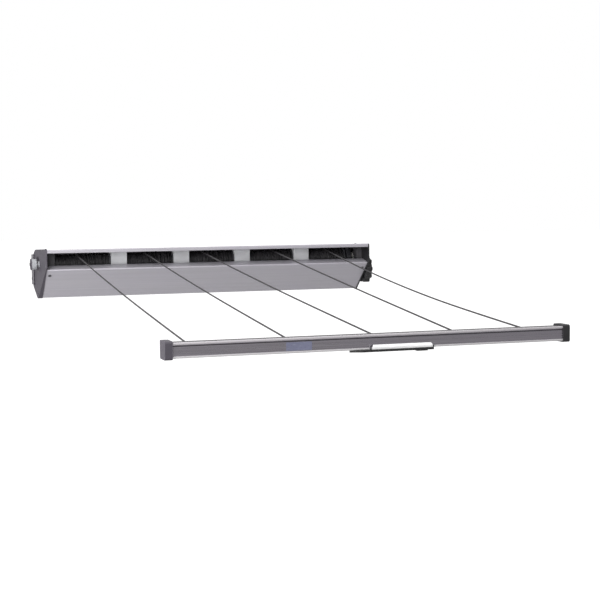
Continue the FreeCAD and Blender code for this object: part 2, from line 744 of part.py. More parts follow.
def make_spring():
    """Return spring: a torsion coil around the arbor, inside the tube."""
    length = SPRING_RIGHT - SPRING_LEFT
    helix = doc.addObject("Part::Helix", "spring_helix")
    bind(helix, Pitch=SPRING_PITCH, Height=length - 2 * SPRING_WIRE, Radius=SPRING_RADIUS)
    ring = doc.addObject("Part::Circle", "spring_section")
    bind(ring, Radius=SPRING_WIRE)
    place(ring, SPRING_RADIUS, 0, 0, FreeCAD.Rotation(V(1, 0, 0), 90))
    sweep = doc.addObject("Part::Sweep", "spring_sweep")
    sweep.Sections = [ring]
    sweep.Spine = (helix, ["Edge1"])
    sweep.Solid = True
    sweep.Frenet = True
    place(sweep, SPRING_LEFT + SPRING_WIRE, "Dims.roller_y", "Dims.roller_z", ALONG_X)
    keep(sweep, "return_spring")


def disc_on_axis(name, radius, bore, left, length):
    """A round piece on the roller's axis with a bore right through."""
    axis = (dim("roller_y"), dim("roller_z"))
    blank = rod(name + "_blank", radius, length, (left, *axis))
    hole = rod(name + "_bore", bore, dim("knob_width") + 4, (left - 1, *axis))
    return cut(name, blank, [hole])


def make_adjuster():
    """Arbor that holds the spring's fixed end, with its collar, knob and dial outside."""
    axis = (dim("roller_y"), dim("roller_z"))
    collar_x = -dim("body_length") / 2 - dim("cap_wall") - 0.5 - dim("collar_width")
    knob_x = collar_x - KNOB_GAP - dim("knob_width")
    dial_x = knob_x - dim("dial_width")
    arbor = rod("arbor", "Dims.arbor_radius", SPRING_RIGHT + 5 - knob_x, (knob_x, *axis))
    tapped = rod("arbor_tapped", 2, 8, (knob_x, *axis))
    keep(cut("arbor_cut", arbor, [tapped]), "spring_arbor")
    grip = "Dims.arbor_radius"
    keep(disc_on_axis("hub", 14, grip, SPRING_LEFT - 16, 14), "spring_hub")
    collar = disc_on_axis("collar", "Dims.collar_radius", grip, collar_x, "Dims.collar_width")
    keep(collar, "adjuster_collar")
    keep(disc_on_axis("knob", "Dims.knob_radius", grip, knob_x, "Dims.knob_width"), "adjuster_knob")
    dial = disc_on_axis("dial", "Dims.dial_radius", 2, dial_x, "Dims.dial_width")
    notches = []
    for number in range(DIAL_NOTCHES):
        angle = 2 * math.pi * number / DIAL_NOTCHES
        y = dim("roller_y") + (dim("dial_radius") + 1.2) * math.cos(angle)
        z = dim("roller_z") + (dim("dial_radius") + 1.2) * math.sin(angle)
        notches.append(rod("dial_notch", 2, 6, (dial_x - 1, y, z)))
    keep(cut("dial_cut", dial, notches), "adjuster_dial")
    spot = (dial_x, *axis)
    keep(screw("knob_screw_solid", (5, 2), (1.9, 10), spot, ALONG_MINUS_X), "knob_screw")


KNOB_GAP = 3.5
DIAL_NOTCHES = 24


# ---- hand wheel ---------------------------------------------------------


def make_hand_wheel():
    """Ten lobed wheel: padded disc, one lobe and its polar pattern, dished face."""
    body = doc.addObject("PartDesign::Body", "hand_wheel_body")
    disc = body.newObject("PartDesign::Pad", "wheel_disc")
    disc.Profile = sketch_on(body, "YZ_Plane", [], [(0, 0, dim("wheel_radius"))])
    bind(disc, Length="Dims.wheel_width")
    doc.recompute()
    lobe = body.newObject("PartDesign::Pad", "wheel_lobe")
    lobe.Profile = sketch_on(body, "YZ_Plane", [], [(dim("lobe_circle"), 0, dim("lobe_radius"))])
    bind(lobe, Length="Dims.wheel_width")
    doc.recompute()
    pattern = body.newObject("PartDesign::PolarPattern", "wheel_lobes")
    pattern.Originals = [lobe]
    axis = [f for f in body.Origin.OriginFeatures if f.Role == "X_Axis"][0]
    pattern.Axis = (axis, [""])
    pattern.Angle = 360
    pattern.Occurrences = int(dim("lobe_count"))
    body.Tip = pattern
    doc.recompute()
    place(body, "Dims.wheel_x", SHAFT_Y, SHAFT_Z)
    outer_face = dim("wheel_x") + dim("wheel_width")
    dish = sleeve_at_shaft("wheel_dish", 33, 13, outer_face - 7, 12)
    bore = rod("wheel_bore", "Dims.shaft_radius", 30, (dim("wheel_x") - 1, SHAFT_Y, SHAFT_Z))
    keep(cut("hand_wheel_cut", body, [dish, bore]), "hand_wheel")


def sleeve_at_shaft(name, outside, inside, left, length):
    """A tube on the pinion shaft's axis."""
    solid = rod(name + "_outside", outside, length, (left, SHAFT_Y, SHAFT_Z))
    hole = rod(name + "_inside", inside, length + 2, (left - 1, SHAFT_Y, SHAFT_Z))
    return cut(name, solid, [hole])


def make_wheel_shaft():
    """Shaft, drag washer, wave spring and end screw of the hand wheel."""
    left = dim("gear_x") - 2
    outer_face = dim("wheel_x") + dim("wheel_width")
    shaft = rod("shaft", "Dims.shaft_radius", outer_face - 1 - left, (left, SHAFT_Y, SHAFT_Z))
    tapped = rod("shaft_tapped", 2, 20, (outer_face - 16, SHAFT_Y, SHAFT_Z))
    keep(cut("shaft_cut", shaft, [tapped]), "pinion_shaft")
    gear_end = dim("gear_x") + dim("gear_width")
    shaft_grip = "Dims.shaft_radius"
    keep(sleeve_at_shaft("drag_ring", 12, shaft_grip, gear_end + 1, 4), "drag_washer")
    keep(sleeve_at_shaft("wave_ring", 10, shaft_grip, gear_end + 5.5, 5), "drag_spring")
    spot = (outer_face, SHAFT_Y, SHAFT_Z)
    keep(screw("wheel_screw_solid", (8, 2.5), (1.9, 12), spot, ALONG_X), "hand_wheel_screw")


# ---- front bar ----------------------------------------------------------

BAR = ("Dims.bar_front", "Dims.bar_top")
BAR_OUTSIDE = [
    (-1.2, 0, 2.4), (dim("bar_depth"), 0, 2.5), (dim("bar_depth"), -dim("bar_height"), 1.5),
    (-1.6, -dim("bar_height"), 1.5), (-1.6, -29, 1.2), (0, -28.2, 0),
    (0, -8.6, 0), (1.4, -8.2, 0), (1.4, -7.2, 0), (-1.2, -6.8, 2.4),
]
SPIGOT_LENGTH = 15
LABEL_SIZE = (57, 0.5, 18)
LABEL_LEFT = -235
# from the bar's top down to the label's lower edge
LABEL_DROP = 27.5


def bar_screw_spot(side):
    """Middle of a cap's spigot, seen from above."""
    end = dim("bar_x") + side * (dim("bar_length") / 2 - dim("bar_cap_length") - SPIGOT_LENGTH / 2)
    return end, dim("bar_front") + dim("bar_depth") / 2


def make_bar():
    """Front bar extrusion: a hollow box with a bead, a groove and a lower lip."""
    wall = dim("bar_wall")
    hollow = [
        (wall, -wall, 1), (dim("bar_depth") - wall, -wall, 1),
        (dim("bar_depth") - wall, wall - dim("bar_height"), 1), (wall, wall - dim("bar_height"), 1),
    ]
    length = dim("bar_length") - 2 * dim("bar_cap_length")
    tube = extruded("bar", [BAR_OUTSIDE, hollow], length, (dim("bar_x") - length / 2, *BAR))
    holes = []
    for side in (-1, 1):
        holes.append(rod("bar_screw_gap", 1.8, 12, (*bar_screw_spot(side), dim("bar_top") - 36), UPRIGHT))
    keep(cut("bar_cut", tube, holes), "bar_extrusion")
    skin, low = LABEL_SIZE[1], dim("bar_top") - LABEL_DROP
    label = block("label", LABEL_SIZE, (LABEL_LEFT, dim("bar_front") - skin, low))
    keep(label, "blank_label")
    ferrules = []
    for number in range(LINE_COUNT):
        back = dim("bar_front") + dim("bar_depth")
        spot = (LINE_TIED_X[number], back, dim("bar_top") + dim("anchor_drop"))
        name = "ferrule_%d" % number
        ferrules.append(rod(name, "Dims.ferrule_radius", "Dims.ferrule_length", spot, ALONG_Y))
    compound("line_ferrules", ferrules)


def make_bar_cap(side, word):
    """Moulded cap with a spigot in the bar and a hook hole behind it."""
    name = word + "_bar_cap"
    depth = dim("bar_cap_depth")
    height = dim("bar_cap_height")
    front = -4
    top = (height - dim("bar_height")) / 2
    loop = [
        (front, top, 5), (front + depth, top, 4),
        (front + depth, top - height, 4), (front, top - height, 5),
    ]
    end = dim("bar_x") + side * dim("bar_length") / 2
    left = end - dim("bar_cap_length") if side > 0 else end
    solid = extruded(name, [loop], "Dims.bar_cap_length", (left, *BAR))
    gap = dim("bar_wall") + 0.15
    spigot_loop = [
        (gap, -gap, 1), (dim("bar_depth") - gap, -gap, 1),
        (dim("bar_depth") - gap, gap - dim("bar_height"), 1), (gap, gap - dim("bar_height"), 1),
    ]
    spigot_left = left - SPIGOT_LENGTH if side > 0 else left + dim("bar_cap_length")
    spigot = extruded(name + "_spigot", [spigot_loop], SPIGOT_LENGTH, (spigot_left, *BAR))
    middle = end - side * dim("bar_cap_length") / 2
    hook_y = dim("bar_front") + dim("hook_back")
    hook = rod(name + "_hook", "Dims.hook_radius", 60, (middle, hook_y, dim("bar_top") - 50), UPRIGHT)
    low = dim("bar_top") - dim("bar_height")
    holes = [hook, rod(name + "_screw_hole", 1.5, 16, (*bar_screw_spot(side), low), UPRIGHT)]
    keep(cut(name + "_cut", fuse(name + "_solid", [solid, spigot]), holes), "bar_cap_" + word)


# a Z axis that points down
DOWNWARD = FreeCAD.Rotation(V(1, 0, 0), 180)


def make_bar_screws():
    """One screw up into each cap's spigot, through the underside of the bar."""
    low = dim("bar_top") - dim("bar_height")
    screws = []
    for side in (-1, 1):
        spot = (*bar_screw_spot(side), low)
        screws.append(screw("bar_screw", (3.2, 1.6), (1.45, 12), spot, DOWNWARD))
    compound("bar_cap_screws", screws)


HANDLE_TOP = -33
HANDLE_THICK = 4.5
KNUCKLE = 2.6
GRIP_HEIGHT = 8
EAR_WIDTH = 2.5


def make_handle():
    """Black base under the bar with a pointed tip, and a hinged steel grip plate."""
    left = dim("handle_left")
    right = dim("handle_right")
    front = -8.5
    plan = [
        (dim("handle_tip"), 2, 0.6), (left - 30, 14, 4), (right, 14, 3), (right, front, 0),
        (left - 20, front, 8),
    ]
    low = dim("bar_top") + HANDLE_TOP - HANDLE_THICK
    base = extruded("handle_base_plate", [plan], HANDLE_THICK, (0, dim("bar_front"), low), "XY_Plane")
    foot = block("handle_foot", (25, 12, 3), (62, dim("bar_front"), low - 3))
    pin_y = dim("bar_front") + dim("pin_back")
    pin_z = dim("bar_top") + dim("pin_drop")
    ears = []
    for x in (left - EAR_WIDTH, right):
        size = (EAR_WIDTH, 2 * KNUCKLE, pin_z + KNUCKLE - low)
        ears.append(block("handle_ear", size, (x, pin_y - KNUCKLE, low)))
    pin_run = right - left + 2 * EAR_WIDTH
    pin_hole = rod("handle_pin_hole", "Dims.pin_radius", pin_run, (left - EAR_WIDTH, pin_y, pin_z))
    keep(cut("handle_base_cut", fuse("handle_base_solid", [base, foot] + ears), [pin_hole]), "handle_base")
    pin = rod("pin", "Dims.pin_radius", pin_run, (left - EAR_WIDTH, pin_y, pin_z))
    keep(pin, "handle_pin")
    knuckle = rod("knuckle", KNUCKLE, right - left - 1, (left + 0.5, pin_y, pin_z))
    plate = block("grip_plate", (right - left - 1, 1.5, GRIP_HEIGHT), (left + 0.5, pin_y - 0.75, pin_z))
    bore = rod("knuckle_bore", "Dims.pin_radius + Dims.running_gap", 200, (left - 5, pin_y, pin_z))
    keep(cut("grip_cut", fuse("grip_solid", [knuckle, plate]), [bore]), "grip_handle")


# ---- clothes lines ------------------------------------------------------


def tangent_path(points):
    """Straight runs joined by tangent arcs, each as large as its two runs allow."""
    edges = []
    start = points[0]
    radii = []
    for before, corner, after in zip(points, points[1:], points[2:]):
        back = (before - corner).normalize()
        ahead = (after - corner).normalize()
        half_turn = (math.pi - back.getAngle(ahead)) / 2
        reach = 0.45 * min((before - corner).Length, (after - corner).Length)
        radius = reach / math.tan(half_turn)
        enter = corner + back * reach
        leave = corner + ahead * reach
        middle = corner + (back + ahead).normalize() * (radius / math.cos(half_turn) - radius)
        edges.append(Part.LineSegment(start, enter).toShape())
        edges.append(Part.Arc(enter, middle, leave).toShape())
        start = leave
        radii.append(radius)
    edges.append(Part.LineSegment(start, points[-1]).toShape())
    return Part.Wire(edges), radii


def line_points(number):
    """From just clear of the winding to the ferrule, sagging under its own weight."""
    wrap = dim("tube_radius") + 3 * dim("line_radius")
    end = V(LINE_TIED_X[number],
            dim("bar_front") + dim("bar_depth") + dim("ferrule_length") + 0.4,
            dim("bar_top") + dim("anchor_drop"))
    fall = math.atan2(dim("roller_z") + wrap - end.z, dim("roller_y") - end.y)
    off = V(LINE_LEAVES_X[number], dim("roller_y") - wrap * math.sin(fall),
            dim("roller_z") + wrap * math.cos(fall))
    start = off + (end - off).normalize() * LINE_CLEAR
    points = []
    for share in (0, 0.25, 0.5, 0.75, 1):
        spot = start + (end - start) * share
        points.append(spot - V(0, 0, LINE_SAGS[number] * 4 * share * (1 - share)))
    return points


def make_lines():
    for number in range(LINE_COUNT):
        points = line_points(number)
        path, radii = tangent_path(points)
        section = Part.Wire(Part.makeCircle(dim("line_radius"), points[0], points[1] - points[0]))
        label = "line_%d" % (number + 1)
        obj = doc.addObject("Part::Feature", label)
        obj.Shape = path.makePipeShell([section], True, True)
        keep(obj, label)
        expected = math.pi * dim("line_radius") ** 2 * path.Length
        print(label, "length %.1f" % path.Length, "least radius %.0f" % min(radii),
              "volume ratio %.4f" % (obj.Shape.Volume / expected))


# ---- the whole assembly -------------------------------------------------


def check_and_write():
    """Stops on any failed feature or bad shape, then writes one file per sub-part."""
    doc.recompute()
    for obj in doc.Objects:
        if "Invalid" in obj.State or "Error" in obj.State:
            raise RuntimeError("%s failed: %s" % (obj.Label, obj.State))
    os.makedirs("parts", exist_ok=True)
    for obj in subparts:
        shape = obj.Shape
        if shape.isNull() or not shape.isValid():
            raise RuntimeError("%s has a null or invalid shape" % obj.Label)
        print("%-22s %d solid(s) %10.1f mm3" % (obj.Label, len(shape.Solids), shape.Volume))
        shape.exportStep("parts/%s.step" % obj.Label)
    print(len(subparts), "sub-parts")


make_shells()
for side, word in ((-1, "left"), (1, "right")):
    make_end_cap(side, word)
    make_bracket(side, word)
    make_bar_cap(side, word)
make_cabinet_screws()
make_bearings()
make_guides()
make_roller()
make_gears()
make_spring()
make_adjuster()
make_hand_wheel()
make_wheel_shaft()
make_bar()
make_bar_screws()
make_handle()
make_lines()
check_and_write()
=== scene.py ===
"""Looks of a wall mounted retractable clothes airer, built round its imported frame.

Metres, +Z up, +Y into the wall, +X to the right seen from the room.
"""

import json
import math

import bmesh
import bpy
from mathutils import Matrix, Vector
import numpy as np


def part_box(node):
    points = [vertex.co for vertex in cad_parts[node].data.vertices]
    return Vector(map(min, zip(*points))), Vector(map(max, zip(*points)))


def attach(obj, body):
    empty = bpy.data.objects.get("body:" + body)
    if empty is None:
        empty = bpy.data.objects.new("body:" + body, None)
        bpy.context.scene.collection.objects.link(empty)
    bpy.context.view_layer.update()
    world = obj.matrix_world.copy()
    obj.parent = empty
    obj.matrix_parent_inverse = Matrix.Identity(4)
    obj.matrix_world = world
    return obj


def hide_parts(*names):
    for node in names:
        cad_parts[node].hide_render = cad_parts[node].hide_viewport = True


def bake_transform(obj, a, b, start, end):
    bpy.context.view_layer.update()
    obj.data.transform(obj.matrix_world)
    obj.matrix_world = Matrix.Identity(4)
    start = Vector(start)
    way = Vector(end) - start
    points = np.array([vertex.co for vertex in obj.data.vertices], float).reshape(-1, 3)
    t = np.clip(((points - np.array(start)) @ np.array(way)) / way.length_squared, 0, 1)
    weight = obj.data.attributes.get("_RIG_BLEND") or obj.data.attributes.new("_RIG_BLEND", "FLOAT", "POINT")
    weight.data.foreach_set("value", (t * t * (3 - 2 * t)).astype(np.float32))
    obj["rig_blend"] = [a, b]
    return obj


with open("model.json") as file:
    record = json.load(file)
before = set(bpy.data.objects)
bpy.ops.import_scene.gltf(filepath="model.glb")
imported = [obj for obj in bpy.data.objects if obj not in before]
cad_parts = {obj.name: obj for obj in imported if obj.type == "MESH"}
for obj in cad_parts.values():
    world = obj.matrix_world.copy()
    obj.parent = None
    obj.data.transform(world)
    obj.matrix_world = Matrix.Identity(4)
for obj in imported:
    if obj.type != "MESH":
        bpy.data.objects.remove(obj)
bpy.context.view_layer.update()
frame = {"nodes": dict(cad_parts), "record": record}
NODES = frame["nodes"]
BODIES = frame["record"]["behaviour"]["bodies"]
BODY_OF = {node: body for body, nodes in BODIES.items() for node in nodes}
SLOT_OF = {part["node"]: part["material_slot"] for part in frame["record"]["subparts"]}
SCENE = bpy.context.scene
SCENE.view_settings.view_transform = "Standard"
MM = 0.001


# ---- camera ---------------------------------------------------------------

LENS = 82.304
SENSOR_WIDTH = 36
SHIFT_UP = 0.0172
CLIP_NEAR = 0.05
CLIP_FAR = 200
CAMERA_PLACE = (-1.1103, -4.3598, 0.2126)
CAMERA_YAW = math.radians(18.49)
CAMERA_PITCH = math.radians(-4.64)
CAMERA_ROLL = math.radians(-0.53)


def make_camera():
    data = bpy.data.cameras.new("camera")
    data.lens = LENS
    data.sensor_width = SENSOR_WIDTH
    data.shift_y = SHIFT_UP
    data.clip_start = CLIP_NEAR
    data.clip_end = CLIP_FAR
    camera = bpy.data.objects.new("camera", data)
    camera.location = CAMERA_PLACE
    flat = math.cos(CAMERA_PITCH)
    forward = Vector((math.sin(CAMERA_YAW) * flat, math.cos(CAMERA_YAW) * flat, math.sin(CAMERA_PITCH)))
    level = Vector((math.cos(CAMERA_YAW), -math.sin(CAMERA_YAW), 0))
    above = level.cross(forward)
    right = level * math.cos(CAMERA_ROLL) + above * math.sin(CAMERA_ROLL)
    up = above * math.cos(CAMERA_ROLL) - level * math.sin(CAMERA_ROLL)
    camera.rotation_euler = Matrix((right, up, -forward)).transposed().to_euler()
    SCENE.collection.objects.link(camera)
    SCENE.camera = camera


# ---- mesh helpers ---------------------------------------------------------

CREASE = 38
FLAT_WEIGHT = 80


def new_object(name, mesh):
    obj = bpy.data.objects.new(name, mesh)
    SCENE.collection.objects.link(obj)
    return obj


def object_from(name, verts, faces):
    """An object from points and faces, with outward normals."""
    bm = bmesh.new()
    corners = [bm.verts.new(v) for v in verts]
    for face in faces:
        bm.faces.new([corners[i] for i in face])
    return object_from_bmesh(name, bm)


def object_from_bmesh(name, bm, crease=CREASE):
    """An object shaded smooth, but for edges that turn by more than crease degrees."""
    bmesh.ops.recalc_face_normals(bm, faces=bm.faces)
    for face in bm.faces:
        face.smooth = True
    for edge in bm.edges:
        edge.smooth = not edge.is_manifold or edge.calc_face_angle() < math.radians(crease)
    mesh = bpy.data.meshes.new(name)
    bm.to_mesh(mesh)
    bm.free()
    return new_object(name, mesh)


def weighted(obj):
    """Keeps large flat faces flat beside their rounded edges."""
    normals = obj.modifiers.new("flat_faces", "WEIGHTED_NORMAL")
    normals.keep_sharp = True
    normals.weight = FLAT_WEIGHT
    return obj


def stands_for(piece, node, materials):
    """The piece takes the CAD node's place, on its body and in its finish."""
    piece.data.materials.append(materials[SLOT_OF[node]])
    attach(piece, BODY_OF[node])
    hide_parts(node)


def route(points, resolution):
    """Points along a smooth NURBS spline with these control points."""
    curve = bpy.data.curves.new("route", "CURVE")
    curve.dimensions = "3D"
    spline = curve.splines.new("NURBS")
    spline.points.add(len(points) - 1)
    for point, place in zip(spline.points, points):
        point.co = (*place, 1)
    spline.order_u = 3
    spline.use_endpoint_u = True
    spline.resolution_u = resolution
    obj = bpy.data.objects.new("route", curve)
    mesh = bpy.data.meshes.new_from_object(obj)
    path = [v.co.copy() for v in mesh.vertices]
    bpy.data.meshes.remove(mesh)
    bpy.data.curves.remove(curve)
    return path


def tube(name, path, radius, sides):
    """A closed tube along a path, with rings that don't twist."""
    verts, faces = [], []
    side = (path[1] - path[0]).orthogonal().normalized()
    for i, place in enumerate(path):
        run = (path[min(i + 1, len(path) - 1)] - path[max(i - 1, 0)]).normalized()
        side = (side - run * side.dot(run)).normalized()
        other = run.cross(side)
        for k in range(sides):
            angle = 2 * math.pi * k / sides
            verts.append(place + (side * math.cos(angle) + other * math.sin(angle)) * radius)
    for i in range(len(path) - 1):
        for k in range(sides):
            a, b = i * sides + k, i * sides + (k + 1) % sides
            faces.append((a, b, b + sides, a + sides))
    last = (len(path) - 1) * sides
    faces.append(tuple(range(sides)))
    faces.append(tuple(range(last, last + sides)))
    return object_from(name, verts, faces)


def middle_of(node):
    """The Y and Z of the middle of a node's box."""
    low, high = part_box(node)
    return (low.y + high.y) / 2, (low.z + high.z) / 2


# ---- clothes lines --------------------------------------------------------

LINE_DIAMETER = 4 * MM
LINE_SAGS = [0.006, 0.005, 0.004, 0.002, 0.018]
LINE_CLEAR = 16 * MM
LINE_LEAVES_X = [-0.420, -0.204, -0.019, 0.215, 0.397]
LINE_TIED_X = [-0.438, -0.219, -0.022, 0.169, 0.341]
LINE_TIED_Y = -1.6146
LINE_TIED_Z = -0.083
LINE_SHARES = (0, 0.25, 0.5, 0.75, 1)
LINE_RESOLUTION = 32
LINE_SIDES = 14
ROLLER_Y = -0.084
ROLLER_Z = 0.019
TUBE_RADIUS = 25 * MM
WRAP_RADIUS = TUBE_RADIUS + 1.5 * LINE_DIAMETER


def line_ends(number):
    """Where a line leaves its winding, where it is tied, and how steeply it falls."""
    tied = Vector((LINE_TIED_X[number], LINE_TIED_Y, LINE_TIED_Z))
    fall = math.atan2(ROLLER_Z + WRAP_RADIUS - tied.z, ROLLER_Y - tied.y)
    leaves = Vector((LINE_LEAVES_X[number], ROLLER_Y - WRAP_RADIUS * math.sin(fall),
                     ROLLER_Z + WRAP_RADIUS * math.cos(fall)))
    return leaves, tied, fall


def line_points(number):
    """The line's route: its touch on the winding, then the same points as the CAD's."""
    leaves, tied, _ = line_ends(number)
    start = leaves + (tied - leaves).normalized() * LINE_CLEAR
    points = [leaves]
    for share in LINE_SHARES:
        drop = LINE_SAGS[number] * 4 * share * (1 - share)
        points.append(start + (tied - start) * share - Vector((0, 0, drop)))
    return points


def slide_evenly(line, start, end):
    run = end - start
    weights = line.data.attributes["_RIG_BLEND"].data
    for vertex, weight in zip(line.data.vertices, weights):
        share = (vertex.co - start).dot(run) / run.length_squared
        weight.value = min(max(share, 0), 1)


def make_lines(material):
    for number in range(len(LINE_TIED_X)):
        path = route(line_points(number), LINE_RESOLUTION)
        line = tube("clothes_line_%d" % (number + 1), path, LINE_DIAMETER / 2, LINE_SIDES)
        line.data.materials.append(material)
        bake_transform(line, "cabinet", "front_bar", start=path[0], end=path[-1])
        slide_evenly(line, path[0], path[-1])
        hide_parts("line_%d" % (number + 1))


# ---- windings -------------------------------------------------------------

INNER_TURNS = 25
OUTER_TURNS = 9.5
TURNS = INNER_TURNS + OUTER_TURNS
FLANGE_GAP = 0.2 * MM
INNER_LEAN = 2.4 * MM
OUTER_LEAN = 5.5 * MM
# How a layer's turns bunch up: waves along it, their strength, and their shift per winding.
INNER_WAVES = ((3, 0.35, 1.7), (7, 0.3, 2.9))
OUTER_WAVES = ((2, 0.5, 0),)
# How fast the lean fades: per layer width beside the flanges, and per turn at the end.
FLANGE_FADE = 8
END_FADE = 1.5
# How the lean's direction drifts, in radians: how far and how fast.
WINDING_DRIFT = (0.5, 1.1)
TURN_DRIFT = (0.8, 0.45)
CLIMB_TURNS = 0.6
POINTS_PER_TURN = 18
NURBS_SHRINK = math.cos(math.pi / POINTS_PER_TURN)
COIL_RESOLUTION = 2
COIL_SIDES = 10


def smooth_step(value):
    value = min(max(value, 0), 1)
    return value * value * (3 - 2 * value)


def uneven(share, waves, number):
    """The share of a layer's width that a turn is off its even place."""
    off = 0
    for count, strength, shift in waves:
        swing = 2 * math.pi * count
        start = shift * number
        off += strength * (math.sin(swing * share + start) - math.sin(start)) / swing
    return off


def winding_points(number):
    """An inner layer from the left flange to the right, then a looser one back over it
    to where the line leaves. Its turns drift and lean as a line winds itself."""
    low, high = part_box("winding_%d" % (number + 1))
    leaves, _, fall = line_ends(number)
    line_radius = LINE_DIAMETER / 2
    left = low.x + line_radius + FLANGE_GAP
    right = high.x - line_radius - FLANGE_GAP
    last_angle = math.pi / 2 + fall
    points = []
    count = int(TURNS * POINTS_PER_TURN)
    for step in range(count + 1):
        turn = step / count * TURNS
        angle = last_angle - 2 * math.pi * (TURNS - turn)
        if turn < INNER_TURNS:
            share = turn / INNER_TURNS
            x = left + (right - left) * (share + uneven(share, INNER_WAVES, number))
            lean = INNER_LEAN
        else:
            share = (turn - INNER_TURNS) / OUTER_TURNS
            x = right + (leaves.x - right) * (share + uneven(share, OUTER_WAVES, number))
            lean = OUTER_LEAN
        edge = min(x - left, right - x) / (right - left)
        lean *= smooth_step(edge * FLANGE_FADE) * smooth_step((TURNS - turn) * END_FADE)
        drift = WINDING_DRIFT[0] * math.sin(WINDING_DRIFT[1] * number)
        drift += TURN_DRIFT[0] * math.sin(TURN_DRIFT[1] * turn + number)
        x += lean * math.sin(angle + math.pi + drift)
        climb = smooth_step((turn - INNER_TURNS + CLIMB_TURNS / 2) / CLIMB_TURNS)
        radius = (TUBE_RADIUS + line_radius * (1 + 2 * climb)) / NURBS_SHRINK
        y = ROLLER_Y + radius * math.cos(angle)
        z = ROLLER_Z + radius * math.sin(angle)
        points.append(Vector((x, y, z)))
    return points


def make_windings(materials):
    for number in range(len(LINE_TIED_X)):
        path = route(winding_points(number), COIL_RESOLUTION)
        coil = tube("line_winding_%d" % (number + 1), path, LINE_DIAMETER / 2, COIL_SIDES)
        stands_for(coil, "winding_%d" % (number + 1), materials)


# ---- node trees -----------------------------------------------------------

EDGE_SAMPLES = 6
# Cosines between the true and the bevelled normal: at a full edge, and at a flat face.
EDGE_FULL = 0.86
EDGE_NONE = 0.99


def add_node(tree, kind, values=None, **settings):
    """A new node with these settings and these values on its sockets."""
    node = tree.nodes.new(kind)
    for name, value in settings.items():
        setattr(node, name, value)
    for socket, value in (values or {}).items():
        node.inputs[socket].default_value = value
    return node


class Shader:
    """A material's node tree, built up in a few words."""

    def __init__(self, name, color, roughness, metallic=0.0):
        self.material = bpy.data.materials.new(name)
        self.material.use_nodes = True
        self.tree = self.material.node_tree
        self.surface = self.tree.nodes["Principled BSDF"]
        self.color = color
        self.surface.inputs["Base Color"].default_value = (*color, 1)
        self.surface.inputs["Roughness"].default_value = roughness
        self.surface.inputs["Metallic"].default_value = metallic
        self.place = self.add("ShaderNodeTexCoord").outputs["Object"]
        self.relief = None

    def add(self, kind, values=None, **settings):
        return add_node(self.tree, kind, values, **settings)

    def link(self, source, target):
        self.tree.links.new(source, target)

    def noise(self, scale, stretch=(1, 1, 1), detail=3, rough=0.5):
        """Noise with about scale features per metre along each axis, times stretch."""
        mapping = self.add("ShaderNodeMapping", {"Scale": stretch})
        self.link(self.place, mapping.inputs["Vector"])
        noise = self.add("ShaderNodeTexNoise", {"Scale": scale, "Detail": detail, "Roughness": rough})
        self.link(mapping.outputs["Vector"], noise.inputs["Vector"])
        return noise.outputs["Fac"]

    def ranged(self, value, low, high, start=0.3, end=0.7):
        """From low to high as the value goes from start to end."""
        limits = {"From Min": start, "From Max": end, "To Min": low, "To Max": high}
        node = self.add("ShaderNodeMapRange", limits)
        self.link(value, node.inputs["Value"])
        return node.outputs["Result"]

    def times(self, one, other):
        node = self.add("ShaderNodeMath", operation="MULTIPLY")
        self.link(one, node.inputs[0])
        self.link(other, node.inputs[1])
        return node.outputs["Value"]

    def mixed(self, factor, one, other):
        """From one colour to the other as the factor goes from 0 to 1."""
        node = self.add("ShaderNodeMix", data_type="RGBA")
        self.link(factor, node.inputs["Factor"])
        for socket, value in ((node.inputs[6], one), (node.inputs[7], other)):
            if hasattr(value, "links"):
                self.link(value, socket)
            else:
                socket.default_value = (*value, 1)
        return node.outputs[2]

    def shaded(self, factor):
        """The base colour at a share of its brightness."""
        return tuple(c * factor for c in self.color)

    def paint(self, value):
        self.link(value, self.surface.inputs["Base Color"])

    def roughness(self, value):
        self.link(value, self.surface.inputs["Roughness"])

    def bump(self, value, depth):
        """Adds relief of that depth in metres."""
        node = self.add("ShaderNodeBump", {"Strength": 1, "Distance": depth})
        self.link(value, node.inputs["Height"])
        if self.relief is not None:
            self.link(self.relief, node.inputs["Normal"])
        self.relief = node.outputs["Normal"]
        self.link(self.relief, self.surface.inputs["Normal"])

    def edge_mask(self, radius):
        """About 1 within radius of a sharp edge and 0 on flat faces."""
        bevel = self.add("ShaderNodeBevel", {"Radius": radius}, samples=EDGE_SAMPLES)
        geometry = self.add("ShaderNodeNewGeometry")
        dot = self.add("ShaderNodeVectorMath", operation="DOT_PRODUCT")
        self.link(bevel.outputs["Normal"], dot.inputs[0])
        self.link(geometry.outputs["Normal"], dot.inputs[1])
        return self.ranged(dot.outputs["Value"], 1, 0, EDGE_FULL, EDGE_NONE)


# ---- stage ----------------------------------------------------------------

FLOOR_Z = -1.6
FLOOR_REACH = 60
FLOOR_GREY = 0.43
FLOOR_GLOW = 0.75
BRIGHT_SIDE = (-0.5, 0.12, 0.86)
SKY = {"From Min": -0.6, "From Max": 0.75, "To Min": 0.22, "To Max": 1.05}
# Name, place, target, side of the square lamp and power.
LAMPS = (
    ("key", (-1.9, -2.3, 2.3), (-0.2, -0.8, 0), 1.4, 85),
    ("side", (-2.0, -1.4, -0.5), (-0.4, -0.2, -0.05), 1.0, 32),
    ("fill", (-1.9, -3.5, 0.75), (-0.1, -0.2, 0), 1.3, 74),
)


